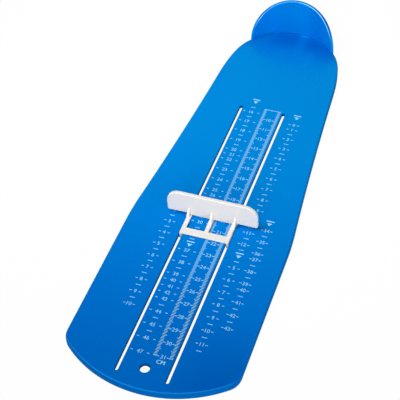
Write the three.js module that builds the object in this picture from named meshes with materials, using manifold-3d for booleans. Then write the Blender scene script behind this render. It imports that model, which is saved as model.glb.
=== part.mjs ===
// A foot measuring device: a flat moulded tray with a raised heel cup, two long guide slots and a
// toe stop that slides along them. Millimetres, +Z up, heel towards +Y, toe towards -Y.
//
// Distances along the device are counted from the heel zero, the line where a heel touches the cup,
// just as the printed centimetre scale counts them. The group is moved to its own middle at the end.
import * as THREE from 'three';
import { mergeVertices } from 'three/addons/utils/BufferGeometryUtils.js';
import Module from 'manifold-3d';

const wasm = await Module();
wasm.setup();

// Base: the tray-like moulding, seen from above
const baseHeight = 4.8; // table to the top of the plate
const plateThickness = 2.4;
const skirtThickness = 2.2;
const topEdgeRadius = 1.4;
const frontWidth = 108.0; // across the parallel front part
const shoulderWidth = 86.5; // across the shoulders, where the flare begins
const shoulderDistance = 60.0;
const shoulderSlope = 0.05; // sideways per length, where the flare begins
const flareSlope = 0.095; // sideways per length, where the flare meets the front part
const bendDistance = 205.0;
const bendBlend = 10.5; // length of the soft bend, to each side of bendDistance
const toeDistance = 334.9; // heel zero to the toe edge
const toeArcRadius = 78.0;
const toeCornerRadius = 12.0;
const heelArcRadius = 40.4; // outside of the heel cup
const heelOverhang = 1.0; // heel zero to the back of the device
const heelArcEnd = THREE.MathUtils.degToRad(75); // half the angle that the heel arc spans

// Heel cup: a wall on the heel arc, with an arched rim
const cupThickness = 2.3;
const cupHeight = 30.6; // above the plate, at the back
const cupHalfAngle = THREE.MathUtils.degToRad(53.6);
const cupRoot = 1.6; // how far the wall reaches down into the plate
const cupFilletRadius = 1.8;

// Guide slots and the hanging hole
const slotSpacing = 31.0; // centre to centre
const slotWidth = 2.1;
const slotHeelEnd = 90.5; // heel zero to the near end of a slot
const slotToeMargin = 8.7; // far end of a slot to the toe edge
const hangHoleRadius = 3.0;
const hangHoleMargin = 14.7; // middle of the hole to the toe edge

// Toe stop: an upright stop on a low frame with two reading windows
const stopReading = 198.9; // heel zero to the measuring face, as photographed
const stopWidth = 60.6;
const stopThickness = 2.4;
const stopHeight = 18.3; // above the plate
const stopCornerRadius = 8.5;
const stopFootRadius = 1.2;
const stopEdgeRadius = 0.5;
const frameTop = 1.7; // above the plate; the wings of the stop start here
const frameLength = 19.2; // measuring face to the front of the crossbar
const crossbarWidth = 4.9;
const railWidth = 2.8;
const middleRailWidth = 2.7;
const gussetHeight = 5.0;
const gussetLength = 4.0;
const gussetThickness = 1.5;
const gussetEmbed = 0.6; // how far a gusset reaches into the stop and the frame

// Legs: they pass down through the slots and hook under the plate
const legClearance = 0.3; // to each side wall of the slot
const hookLength = 5.0; // along the slot
const hookReach = 1.2; // sideways, past the leg
const hookLip = 0.4; // upright edge of the hook
const hookThickness = 1.0;
const runningClearance = 0.3; // slider to plate, above and below

// How finely round stretches are cut
const arcSteps = 6;
const edgeSteps = 3;
const holeSteps = 32;
const wallSteps = 36;
const rimSteps = 6;

// Places worked out from the sizes
const plateUnderside = baseHeight - plateThickness;
const heelArcCentre = heelOverhang - heelArcRadius;
const cupInnerRadius = heelArcRadius - cupThickness;
const slotRadius = slotWidth / 2;
const slotToeEnd = toeDistance - slotToeMargin;
const hangHoleDistance = toeDistance - hangHoleMargin;
const legThickness = slotWidth - 2 * legClearance;
const railOuter = slotSpacing / 2 + legThickness / 2;
const frameBottom = baseHeight + runningClearance;
const frameTopLevel = baseHeight + frameTop;
const measuringFace = -stopReading;
const toeFace = measuringFace - stopThickness;
const frameFront = measuringFace - frameLength;

const bluePlastic = new THREE.MeshStandardMaterial({ color: 0x0a84dc, roughness: 0.25, metalness: 0 });
const whitePlastic = new THREE.MeshStandardMaterial({ color: 0xf1f1f0, roughness: 0.4, metalness: 0 });

// A closed geometry as a solid that can be joined and cut
function toSolid(geometry) {
  const bare = geometry.clone();
  bare.deleteAttribute('normal');
  bare.deleteAttribute('uv');
  const merged = mergeVertices(bare, 1e-4);
  return new wasm.Manifold(new wasm.Mesh({
    numProp: 3,
    vertProperties: new Float32Array(merged.attributes.position.array),
    triVerts: new Uint32Array(merged.index.array),
  }));
}

function toGeometry(solid) {
  const cut = solid.getMesh();
  const geometry = new THREE.BufferGeometry();
  geometry.setAttribute('position', new THREE.BufferAttribute(new Float32Array(cut.vertProperties), 3));
  geometry.setIndex(new THREE.BufferAttribute(new Uint32Array(cut.triVerts), 1));
  const faceted = geometry.toNonIndexed();
  faceted.computeVertexNormals();
  return faceted;
}

function boxSolid(x0, x1, y0, y1, z0, z1) {
  const box = new THREE.BoxGeometry(x1 - x0, y1 - y0, z1 - z0);
  box.translate((x0 + x1) / 2, (y0 + y1) / 2, (z0 + z1) / 2);
  return toSolid(box);
}

// A plain prism of a plan outline between two heights; inset draws the outline in by that much
function prismSolid(shape, z0, z1, inset = 0) {
  const prism = new THREE.ExtrudeGeometry(shape, {
    depth: z1 - z0,
    curveSegments: arcSteps,
    bevelEnabled: inset > 0,
    bevelThickness: 0,
    bevelSize: 0,
    bevelOffset: -inset,
    bevelSegments: 0,
  });
  prism.translate(0, 0, z0);
  return toSolid(prism);
}

// Smooth stretch from where the path is to the point (x, y), given the directions at both ends
function blendTo(path, fromDirection, x, y, toDirection) {
  const from = path.currentPoint.clone();
  const to = new THREE.Vector2(x, y);
  const handle = from.distanceTo(to) / 3;
  const a = from.clone().addScaledVector(fromDirection, handle);
  const b = to.clone().addScaledVector(toDirection, -handle);
  path.bezierCurveTo(a.x, a.y, b.x, b.y, x, y);
}

// Right side of the plan outline, from the back of the heel round to the middle of the toe
function outlineSide() {
  const half = frontWidth / 2;
  const heelEndDirection = new THREE.Vector2(Math.cos(heelArcEnd), -Math.sin(heelArcEnd));
  const shoulderDirection = new THREE.Vector2(shoulderSlope, -1).normalize();
  const flareDirection = new THREE.Vector2(flareSlope, -1).normalize();
  const forward = new THREE.Vector2(0, -1);
  const flareEnd = half - flareSlope * bendBlend;

  const toeCentre = toeArcRadius - toeDistance;
  const cornerX = half - toeCornerRadius;
  const cornerDrop = Math.sqrt((toeArcRadius - toeCornerRadius) ** 2 - cornerX ** 2);
  const cornerY = toeCentre - cornerDrop;
  const cornerAngle = Math.atan2(-cornerDrop, cornerX);

  const path = new THREE.Path();
  path.absarc(0, heelArcCentre, heelArcRadius, Math.PI / 2, Math.PI / 2 - heelArcEnd, true);
  blendTo(path, heelEndDirection, shoulderWidth / 2, -shoulderDistance, shoulderDirection);
  blendTo(path, shoulderDirection, flareEnd, bendBlend - bendDistance, flareDirection);
  blendTo(path, flareDirection, half, -bendDistance - bendBlend, forward);
  path.lineTo(half, cornerY);
  path.absarc(cornerX, cornerY, toeCornerRadius, 0, cornerAngle, true);
  path.absarc(0, toeCentre, toeArcRadius, cornerAngle, -Math.PI / 2, true);
  return path.getPoints(arcSteps);
}

function outlineShape() {
  const right = outlineSide();
  const left = right.slice(1, -1).reverse().map((p) => new THREE.Vector2(-p.x, p.y));
  return new THREE.Shape([...right, ...left].reverse());
}

// Long slot with round ends
function slotShape(x) {
  const shape = new THREE.Shape();
  shape.absarc(x, -slotHeelEnd - slotRadius, slotRadius, 0, Math.PI, false);
  shape.absarc(x, -slotToeEnd + slotRadius, slotRadius, Math.PI, 2 * Math.PI, false);
  return shape;
}

// Rim of the heel cup at a share u of its half angle, from -1 to 1: half an ellipse on the unrolled
// wall
function rimPoint(u) {
  const height = baseHeight + cupHeight * Math.sqrt(Math.max(0, 1 - u * u));
  return { angle: u * cupHalfAngle, height };
}

// The heel wall: stations along the rim, each with a half-round top edge and two straight sides that
// go down into the plate. The last station at each end is the same edge, set down inside the plate.
function heelWallSolid() {
  const foot = baseHeight - cupRoot;
  const rimRadius = cupThickness / 2;
  const middleRadius = cupInnerRadius + rimRadius;
  const onWall = (radius, angle, z) =>
    new THREE.Vector3(radius * Math.sin(angle), heelArcCentre + radius * Math.cos(angle), z);

  const stations = [];
  for (let i = 0; i <= wallSteps; i++) {
    const turn = Math.PI * (i / wallSteps - 0.5);
    const { angle, height } = rimPoint(Math.sin(turn));
    // Direction into the wall, square to the rim, as a step in arc length and a step in height
    const along = cupHeight * Math.sin(turn);
    const up = -middleRadius * cupHalfAngle * Math.cos(turn);
    const size = Math.hypot(along, up);
    const inwardAngle = -along / size / middleRadius;
    const inwardHeight = up / size;
    const edge = [];
    for (let k = 0; k <= rimSteps; k++) {
      const roll = Math.PI * (k / rimSteps);
      const depth = rimRadius * (1 - Math.sin(roll));
      const radius = middleRadius - rimRadius * Math.cos(roll);
      edge.push(onWall(radius, angle + inwardAngle * depth, height + inwardHeight * depth));
    }
    stations.push(edge);
  }
  const lowered = (edge) => edge.map((p) => new THREE.Vector3(p.x, p.y, foot));
  const all = [lowered(stations[0]), ...stations, lowered(stations[wallSteps])];

  const triangles = [];
  const quad = (a, b, c, d) => triangles.push(a, b, c, a, c, d);
  for (let i = 0; i + 1 < all.length; i++) {
    for (let k = 0; k < rimSteps; k++) {
      quad(all[i][k], all[i + 1][k], all[i + 1][k + 1], all[i][k + 1]);
    }
  }
  const drop = (p) => new THREE.Vector3(p.x, p.y, foot);
  for (let i = 0; i < wallSteps; i++) {
    const [a, b] = [stations[i][0], stations[i + 1][0]];
    const [c, d] = [stations[i][rimSteps], stations[i + 1][rimSteps]];
    quad(drop(a), drop(b), b, a);
    quad(c, d, drop(d), drop(c));
    quad(drop(b), drop(a), drop(c), drop(d));
  }
  for (const [edge, first] of [[all[0], true], [all[all.length - 1], false]]) {
    for (let k = 1; k < rimSteps; k++) {
      const fan = first ? [edge[0], edge[k], edge[k + 1]] : [edge[0], edge[k + 1], edge[k]];
      triangles.push(...fan);
    }
  }
  return toSolid(new THREE.BufferGeometry().setFromPoints(triangles));
}

// Soft inside corner between the plate and the heel wall, kept lower than the rim
function heelFilletSolid() {
  const r = cupFilletRadius;
  const profile = [
    new THREE.Vector2(cupInnerRadius + cupThickness / 2, -cupRoot / 2),
    new THREE.Vector2(cupInnerRadius + cupThickness / 2, r),
  ];
  for (let k = 0; k <= rimSteps; k++) {
    const roll = (Math.PI / 2) * (k / rimSteps);
    profile.push(new THREE.Vector2(cupInnerRadius - r + r * Math.cos(roll), r - r * Math.sin(roll)));
  }
  profile.push(new THREE.Vector2(cupInnerRadius - r, -cupRoot / 2));
  profile.push(profile[0].clone());
  const ring = new THREE.LatheGeometry(profile, 4 * wallSteps);
  ring.rotateX(Math.PI / 2);
  ring.translate(0, heelArcCentre, baseHeight);

  // Everything behind the heel wall's ends and below the rim, seen from the front
  const arch = new THREE.Shape();
  arch.moveTo(-cupInnerRadius * Math.sin(cupHalfAngle), 0);
  for (let i = 0; i <= wallSteps; i++) {
    const { angle, height } = rimPoint(Math.sin(Math.PI * (i / wallSteps - 0.5)));
    arch.lineTo(cupInnerRadius * Math.sin(angle), height - cupThickness / 2);
  }
  arch.lineTo(cupInnerRadius * Math.sin(cupHalfAngle), 0);
  const behind = new THREE.ExtrudeGeometry(arch, { depth: heelArcRadius, bevelEnabled: false });
  behind.applyMatrix4(new THREE.Matrix4().makeBasis(
    new THREE.Vector3(1, 0, 0),
    new THREE.Vector3(0, 0, 1),
    new THREE.Vector3(0, -1, 0),
  ));
  behind.translate(0, heelOverhang, 0);
  return toSolid(ring).intersect(toSolid(behind));
}

function gaugeBase() {
  const outline = outlineShape();
  const rounded = new THREE.ExtrudeGeometry(outline, {
    depth: baseHeight,
    bevelEnabled: true,
    bevelThickness: topEdgeRadius,
    bevelSize: topEdgeRadius,
    bevelOffset: -topEdgeRadius,
    bevelSegments: edgeSteps,
  });
  rounded.translate(0, 0, -topEdgeRadius);
  const reach = frontWidth + toeDistance;
  const belowTable = boxSolid(-reach, reach, -reach, reach, -baseHeight, 0);
  const hole = new THREE.CylinderGeometry(hangHoleRadius, hangHoleRadius, 3 * baseHeight, holeSteps);
  hole.rotateX(Math.PI / 2);
  hole.translate(0, -hangHoleDistance, 0);

  let solid = toSolid(rounded).subtract(belowTable);
  solid = solid.subtract(prismSolid(outline, -baseHeight, plateUnderside, skirtThickness));
  solid = solid.add(heelWallSolid()).add(heelFilletSolid());
  for (const side of [-1, 1]) {
    solid = solid.subtract(prismSolid(slotShape(side * slotSpacing / 2), 0, 2 * baseHeight));
  }
  solid = solid.subtract(toSolid(hole));

  const mesh = new THREE.Mesh(toGeometry(solid), bluePlastic);
  mesh.name = 'gauge_base';
  return mesh;
}

// The upright stop, drawn from the front: rounded top corners, wings that clear the plate and a
// narrower foot between the outer faces of the rails
function stopSolid() {
  const footX = stopWidth / 2 - stopFootRadius;
  const footZ = frameTopLevel + stopFootRadius;
  const cornerX = stopWidth / 2 - stopCornerRadius;
  const cornerZ = baseHeight + stopHeight - stopCornerRadius;
  const quarter = Math.PI / 2;
  const shape = new THREE.Shape();
  shape.moveTo(-railOuter, frameBottom);
  shape.lineTo(railOuter, frameBottom);
  shape.lineTo(railOuter, frameTopLevel);
  shape.absarc(footX, footZ, stopFootRadius, -quarter, 0, false);
  shape.absarc(cornerX, cornerZ, stopCornerRadius, 0, quarter, false);
  shape.absarc(-cornerX, cornerZ, stopCornerRadius, quarter, 2 * quarter, false);
  shape.absarc(-footX, footZ, stopFootRadius, 2 * quarter, 3 * quarter, false);
  shape.lineTo(-railOuter, frameTopLevel);
  const plate = new THREE.ExtrudeGeometry(shape, {
    depth: stopThickness - 2 * stopEdgeRadius,
    curveSegments: arcSteps,
    bevelEnabled: true,
    bevelThickness: stopEdgeRadius,
    bevelSize: stopEdgeRadius,
    bevelOffset: -stopEdgeRadius,
    bevelSegments: edgeSteps,
  });
  plate.applyMatrix4(new THREE.Matrix4().makeBasis(
    new THREE.Vector3(1, 0, 0),
    new THREE.Vector3(0, 0, 1),
    new THREE.Vector3(0, -1, 0),
  ));
  plate.translate(0, measuringFace - stopEdgeRadius, 0);
  return toSolid(plate);
}

// A low prism drawn in the plane of travel, lying between x - width / 2 and x + width / 2
function sideProfileSolid(points, x, width) {
  const shape = new THREE.Shape(points.map(([y, z]) => new THREE.Vector2(y, z)));
  const prism = new THREE.ExtrudeGeometry(shape, { depth: width, bevelEnabled: false });
  prism.applyMatrix4(new THREE.Matrix4().makeBasis(
    new THREE.Vector3(0, 1, 0),
    new THREE.Vector3(0, 0, 1),
    new THREE.Vector3(1, 0, 0),
  ));
  prism.translate(x - width / 2, 0, 0);
  return toSolid(prism);
}

// A hook at the foot of a leg: a chamfered barb that reaches outwards under the plate
function hookSolid(side, y) {
  const top = plateUnderside - runningClearance;
  const inner = railOuter - legThickness;
  const points = [
    [inner, frameTopLevel - gussetEmbed],
    [inner, top - hookThickness],
    [railOuter, top - hookThickness],
    [railOuter + hookReach, top - hookLip],
    [railOuter + hookReach, top],
    [railOuter, top],
    [railOuter, frameTopLevel - gussetEmbed],
  ];
  const outline = points.map(([x, z]) => new THREE.Vector2(side * x, z));
  const shape = new THREE.Shape(side > 0 ? outline : outline.reverse());
  const prism = new THREE.ExtrudeGeometry(shape, { depth: hookLength, bevelEnabled: false });
  prism.applyMatrix4(new THREE.Matrix4().makeBasis(
    new THREE.Vector3(1, 0, 0),
    new THREE.Vector3(0, 0, 1),
    new THREE.Vector3(0, -1, 0),
  ));
  prism.translate(0, y, 0);
  return toSolid(prism);
}

function toeSlider() {
  const inner = railOuter - railWidth;
  const middle = middleRailWidth / 2;
  const rear = measuringFace - stopEdgeRadius;
  const windowFront = frameFront + crossbarWidth;
  let solid = boxSolid(-railOuter, railOuter, frameFront, rear, frameBottom, frameTopLevel);
  for (const side of [-1, 1]) {
    const [x0, x1] = side > 0 ? [middle, inner] : [-inner, -middle];
    solid = solid.subtract(boxSolid(x0, x1, windowFront, toeFace, 0, 2 * frameTopLevel));
  }
  solid = solid.add(stopSolid());

  const gusset = [
    [toeFace + gussetEmbed, frameTopLevel - gussetEmbed],
    [toeFace + gussetEmbed, frameTopLevel + gussetHeight],
    [toeFace, frameTopLevel + gussetHeight],
    [toeFace - gussetLength, frameTopLevel],
    [toeFace - gussetLength, frameTopLevel - gussetEmbed],
  ].reverse();
  for (const x of [-slotSpacing / 2, 0, slotSpacing / 2]) {
    solid = solid.add(sideProfileSolid(gusset, x, gussetThickness));
  }

  // Each guide rib fills the slot down to the plate's underside, between a hook at either end
  const rib = [
    [frameFront, frameTopLevel - gussetEmbed],
    [frameFront, plateUnderside],
    [rear, plateUnderside],
    [rear, frameTopLevel - gussetEmbed],
  ];
  for (const side of [-1, 1]) {
    solid = solid.add(sideProfileSolid(rib, side * slotSpacing / 2, legThickness));
    solid = solid.add(hookSolid(side, rear));
    solid = solid.add(hookSolid(side, frameFront + hookLength));
  }

  const mesh = new THREE.Mesh(toGeometry(solid), whitePlastic);
  mesh.name = 'toe_slider';
  return mesh;
}

// Moves the heel zero back by half the overall length, so that the origin is in the middle underneath
const group = new THREE.Group();
group.add(gaugeBase(), toeSlider());
group.position.y = (toeDistance + heelOverhang) / 2 - heelOverhang;

export default group;
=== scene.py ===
# %% [markdown]
# A foot measuring device: a blue moulded gauge with an upright heel cup, and a white toe slider
# that runs in two long slots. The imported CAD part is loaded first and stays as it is: its two solids
# say where everything is and how it moves. The lesson then models both mouldings again with finer
# curves and soft edges, prints the scale on the plate, and gives each surface its finish.

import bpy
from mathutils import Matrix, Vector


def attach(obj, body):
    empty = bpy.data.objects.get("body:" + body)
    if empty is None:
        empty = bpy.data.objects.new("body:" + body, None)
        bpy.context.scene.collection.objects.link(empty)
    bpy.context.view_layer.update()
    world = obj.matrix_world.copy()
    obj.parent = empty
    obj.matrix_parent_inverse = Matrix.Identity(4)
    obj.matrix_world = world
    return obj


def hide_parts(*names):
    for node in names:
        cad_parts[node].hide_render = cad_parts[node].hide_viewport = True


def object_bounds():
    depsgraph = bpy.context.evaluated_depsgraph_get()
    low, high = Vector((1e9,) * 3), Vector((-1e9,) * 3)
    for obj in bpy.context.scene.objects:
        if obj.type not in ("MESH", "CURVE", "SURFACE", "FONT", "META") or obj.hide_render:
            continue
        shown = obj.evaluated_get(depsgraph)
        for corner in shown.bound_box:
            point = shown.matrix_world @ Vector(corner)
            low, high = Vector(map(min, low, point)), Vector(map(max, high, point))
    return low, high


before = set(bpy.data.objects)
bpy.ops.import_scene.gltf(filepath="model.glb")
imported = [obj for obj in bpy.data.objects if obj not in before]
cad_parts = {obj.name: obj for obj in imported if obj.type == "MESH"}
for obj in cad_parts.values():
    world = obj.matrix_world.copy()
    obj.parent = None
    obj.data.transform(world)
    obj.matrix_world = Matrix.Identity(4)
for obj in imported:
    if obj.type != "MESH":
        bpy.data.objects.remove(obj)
cad_low, cad_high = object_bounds()
print("CAD box from", list(cad_low), "to", list(cad_high))

# %% [markdown]
# Everything is modelled with Blender's own operators, as by hand. An operator acts on what is
# selected, so a few helpers come first, which pick parts of a mesh by a test of their place or
# normal, add a shape, and join or cut two closed shapes.

# %% Helpers for modelling
import math

import bmesh
import bpy
from mathutils import Matrix, Vector

MM = 0.001
TINY = 0.001 * MM


def in_mm(lengths):
    return [round(length / MM, 2) for length in lengths]


def select_only(*pieces):
    bpy.ops.object.select_all(action="DESELECT")
    for piece in pieces:
        piece.select_set(True)
    bpy.context.view_layer.objects.active = pieces[0]


def pick_all():
    bpy.ops.mesh.select_all(action="SELECT")


def start_edit(piece):
    select_only(piece)
    bpy.ops.object.mode_set(mode="EDIT")
    bpy.ops.mesh.select_mode(type="VERT")
    pick_all()


def stop_edit():
    bpy.ops.object.mode_set(mode="OBJECT")


def pick(piece, kind, test):
    """Selects the parts of one kind, VERT, EDGE or FACE, that pass the test, and counts them."""
    bpy.ops.mesh.select_mode(type=kind)
    bpy.ops.mesh.select_all(action="DESELECT")
    shape = bmesh.from_edit_mesh(piece.data)
    parts = {"VERT": shape.verts, "EDGE": shape.edges, "FACE": shape.faces}[kind]
    found = [part for part in parts if test(part)]
    for part in found:
        part.select_set(True)
    shape.select_flush_mode()
    bmesh.update_edit_mesh(piece.data)
    return len(found)


def cut_across(place, direction, **settings):
    """Cuts the whole mesh along a plane."""
    pick_all()
    bpy.ops.mesh.bisect(plane_co=place, plane_no=direction, threshold=TINY, **settings)


def place_in_mesh(piece):
    """The object goes to the origin, and its place, turn and scale go into its mesh."""
    select_only(piece)
    bpy.ops.object.transform_apply(location=True, rotation=True, scale=True)
    return piece


def add_shape(operator, scale=(1, 1, 1), **settings):
    """Adds a basic shape with its operator."""
    bpy.ops.object.select_all(action="DESELECT")
    operator(**settings)
    bpy.context.object.scale = scale
    return place_in_mesh(bpy.context.object)


def set_all(thing, settings):
    for name, value in settings.items():
        setattr(thing, name, value)


def modify(piece, kind, **settings):
    """Adds a modifier, sets it up and applies it."""
    modifier = piece.modifiers.new("change", kind)
    set_all(modifier, settings)
    select_only(piece)
    bpy.ops.object.modifier_apply(modifier=modifier.name)


def combine(piece, other, operation):
    """Joins or cuts two closed shapes: UNION adds other to piece, DIFFERENCE cuts it away."""
    modify(piece, "BOOLEAN", operation=operation, solver="MANIFOLD", object=other)
    bpy.data.objects.remove(other)


def face_outwards():
    pick_all()
    bpy.ops.mesh.normals_make_consistent(inside=False)


def tidy_mesh(piece, distance=TINY):
    """Merges doubles and turns every face outwards."""
    start_edit(piece)
    bpy.ops.mesh.remove_doubles(threshold=distance)
    bpy.ops.mesh.dissolve_degenerate(threshold=distance)
    bpy.ops.mesh.normals_make_consistent(inside=False)
    stop_edit()
    return piece


def in_cm3(piece):
    """The volume of a closed shape, and its unit."""
    shape = bmesh.new()
    shape.from_mesh(piece.data)
    volume = shape.calc_volume()
    shape.free()
    return f"{volume / (10 * MM) ** 3:.2f} cm3"


# %% [markdown]
# An outline is drawn as with a pen. A new mesh starts as one point, and each stroke extrudes that
# point along a line, an arc or a smooth bend, so that the finished chain of edges can be filled.

# %% Helpers for drawing outlines
def start_pen(name, point):
    piece = add_shape(bpy.ops.mesh.primitive_plane_add, size=MM, location=point)
    piece.name = name
    start_edit(piece)
    bpy.ops.mesh.merge(type="CENTER")
    return piece


def pen_at(piece):
    shape = bmesh.from_edit_mesh(piece.data)
    return next(v.co.copy() for v in shape.verts if v.select)


def line_to(piece, *point):
    step = Vector(point) - pen_at(piece)
    bpy.ops.mesh.extrude_region_move(TRANSFORM_OT_translate={"value": step})


def arc_about(centre, angle, steps, axis=(0, 0, 1)):
    """A positive angle turns clockwise, seen from the tip of the axis."""
    bpy.ops.mesh.spin(steps=steps, angle=angle, center=centre, axis=axis)


def bend_to(piece, point, leave, arrive, steps):
    """A smooth stretch from the pen's place to the point, which leaves and arrives as told."""
    start, end = pen_at(piece), Vector(point)
    handle = (end - start).length / 3
    a, b = start + leave.normalized() * handle, end - arrive.normalized() * handle
    for i in range(1, steps + 1):
        t = i / steps
        s = 1 - t
        line_to(piece, *(s**3 * start + 3 * s * s * t * a + 3 * s * t * t * b + t**3 * end))


def fill_outline(mirrored=False):
    pick_all()
    if mirrored:
        bpy.ops.mesh.symmetrize(direction="POSITIVE_X")
        pick_all()
    bpy.ops.mesh.remove_doubles(threshold=TINY)
    bpy.ops.mesh.edge_face_add()


def pull(*offset):
    """Extrudes what is selected by an offset."""
    bpy.ops.mesh.extrude_region_move(TRANSFORM_OT_translate={"value": offset})


def draw_slab(name, points, *thickness):
    """An outline through the points, filled, and pulled by its thickness."""
    piece = start_pen(name, points[0])
    for point in points[1:]:
        line_to(piece, *point)
    fill_outline()
    pull(*thickness)
    stop_edit()
    return piece


# %% [markdown]
# The camera stands where the photograph was taken: in front of the toe end, to the right, looking
# down at about 46 degrees, with a slight roll.

# %% Camera
camera_place = Vector((0.16402, -0.45927, 0.50108))
camera_target = Vector((-0.01343, -0.01971, 0.0048))
camera_roll = math.radians(-3.75)
camera_lens = 94.66


def stand(thing, place, target, roll=0.0):
    """Puts a camera or a lamp at its place, aimed at the target."""
    bpy.context.scene.collection.objects.link(thing)
    aim = (target - place).to_track_quat("-Z", "Y").to_matrix().to_4x4()
    thing.matrix_world = Matrix.Translation(place) @ aim @ Matrix.Rotation(roll, 4, "Z")


camera_data = bpy.data.cameras.new("camera")
camera_data.sensor_width = 36.0
camera_data.lens = camera_lens
camera = bpy.data.objects.new("camera", camera_data)
stand(camera, camera_place, camera_target, camera_roll)
bpy.context.scene.camera = camera
view = (camera_target - camera_place).normalized()
print("camera looks down at", round(math.degrees(math.asin(-view.z)), 1), "degrees")

# %% [markdown]
# The base is one injection moulding, a shallow tray upside down: a flat plate with a skirt round
# its edge. Its plan is drawn from the back of the heel round to the toe. Distances along the device
# are counted from the heel zero, where a heel touches the cup, as its printed scale counts them.

# %% Sizes of the base
base_height = 4.8 * MM
plate_thickness = 2.4 * MM
skirt_thickness = 2.2 * MM
top_edge_radius = 1.4 * MM
foot_edge_radius = 0.3 * MM
front_half = 54.0 * MM
shoulder_half = 43.25 * MM
shoulder_distance = 60.0 * MM
shoulder_slope = 0.05
flare_slope = 0.095
bend_distance = 205.0 * MM
bend_blend = 10.5 * MM
toe_distance = 334.9 * MM
toe_arc_radius = 78.0 * MM
toe_corner_radius = 12.0 * MM
heel_overhang = 1.0 * MM
heel_radius = 40.4 * MM
heel_arc_end = math.radians(75)
cup_half_angle = math.radians(53.6)
cup_skin = 0.01 * MM

heel_zero = cad_high.y - heel_overhang
plate_top = base_height
plate_underside = base_height - plate_thickness
heel_centre = Vector((0, cad_high.y - heel_radius, 0))


def along(distance):
    """The place along Y of a distance from the heel zero."""
    return heel_zero - distance


# %% Draw the plan of the base
def draw_base_plan():
    toe_centre = Vector((0, along(toe_distance) + toe_arc_radius, 0))
    corner_x = front_half - toe_corner_radius
    corner_drop = math.sqrt((toe_arc_radius - toe_corner_radius) ** 2 - corner_x**2)
    corner_angle = math.atan2(corner_drop, corner_x)
    corner = toe_centre + Vector((corner_x, -corner_drop, 0))
    shoulder, flare = Vector((shoulder_slope, -1, 0)), Vector((flare_slope, -1, 0))
    forward = Vector((0, -1, 0))
    leave_heel = Vector((math.cos(heel_arc_end), -math.sin(heel_arc_end), 0))

    piece = start_pen("base_moulding", (0, cad_high.y - cup_skin, 0))
    arc_about(heel_centre, cup_half_angle, steps=40)
    arc_about(heel_centre, heel_arc_end - cup_half_angle, steps=17)
    bend_to(piece, (shoulder_half, along(shoulder_distance), 0), leave_heel, shoulder, steps=18)
    flare_end = (front_half - flare_slope * bend_blend, along(bend_distance - bend_blend), 0)
    bend_to(piece, flare_end, shoulder, flare, steps=12)
    bend_to(piece, (front_half, along(bend_distance + bend_blend), 0), flare, forward, steps=8)
    line_to(piece, front_half, corner.y, 0)
    arc_about(corner, corner_angle, steps=10)
    arc_about(toe_centre, math.pi / 2 - corner_angle, steps=16)
    fill_outline(mirrored=True)
    stop_edit()
    return piece


base = draw_base_plan()
print("base plan:", len(base.data.vertices), "points,", len(base.data.polygons), "face")

# %% [markdown]
# The filled plan is extruded into a block. Its top edge is rounded by a run of insets, each a little
# further in and up, because a bevel of this size would cross many short edges. From below the plan
# is inset by the skirt's thickness and pushed up, which leaves the tray.


# %% Raise the tray
def round_over(radius, steps):
    """The selected face rises and draws in along a quarter circle."""
    for i in range(steps):
        low, high = (math.pi / 2 * k / steps for k in (i, i + 1))
        bpy.ops.mesh.inset(thickness=radius * (math.cos(low) - math.cos(high)),
                           depth=radius * (math.sin(high) - math.sin(low)))


def raise_tray(piece):
    start_edit(piece)
    pull(0, 0, base_height - top_edge_radius)
    face_outwards()
    pick(piece, "FACE", lambda f: f.normal.z > 0.9)
    round_over(top_edge_radius, steps=8)
    pick(piece, "FACE", lambda f: f.normal.z < -0.9)
    bpy.ops.mesh.inset(thickness=skirt_thickness)
    pull(0, 0, plate_underside)
    edges = pick(piece, "EDGE", lambda e: all(v.co.z < TINY for v in e.verts)
                 and any(abs(f.normal.z) < 0.5 for f in e.link_faces))
    bpy.ops.mesh.bevel(offset=foot_edge_radius, segments=3, affect="EDGES")
    stop_edit()
    return edges


foot_edges = raise_tray(base)
print("tray:", len(base.data.polygons), "faces; rounded", foot_edges, "edges of the skirt's foot")

# %% [markdown]
# The heel cup is an upright wall on the arc of the heel. Rolled out it is half an ellipse, so it is
# modelled flat: half a circle is stretched, pulled down to the plate and thickened, and a bevel makes
# its round rim. A soft inside corner is swept along its foot. Then both are bent round the heel.

# %% Sizes of the heel cup
cup_thickness = 2.3 * MM
cup_inside = heel_radius - cup_thickness
cup_height = 30.6 * MM
cup_root = 1.6 * MM
cup_corner_radius = 0.4 * MM
corner_taper = 7.0 * MM
corner_end_gap = 0.3 * MM
corner_end_share = 0.1
skirt_cover = 0.45 * MM
wall_middle = heel_radius - cup_thickness / 2
wall_half_length = wall_middle * cup_half_angle
wall_flat_half = wall_half_length - cup_thickness / 2
rim_points = 160
bend_cuts = 36

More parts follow.
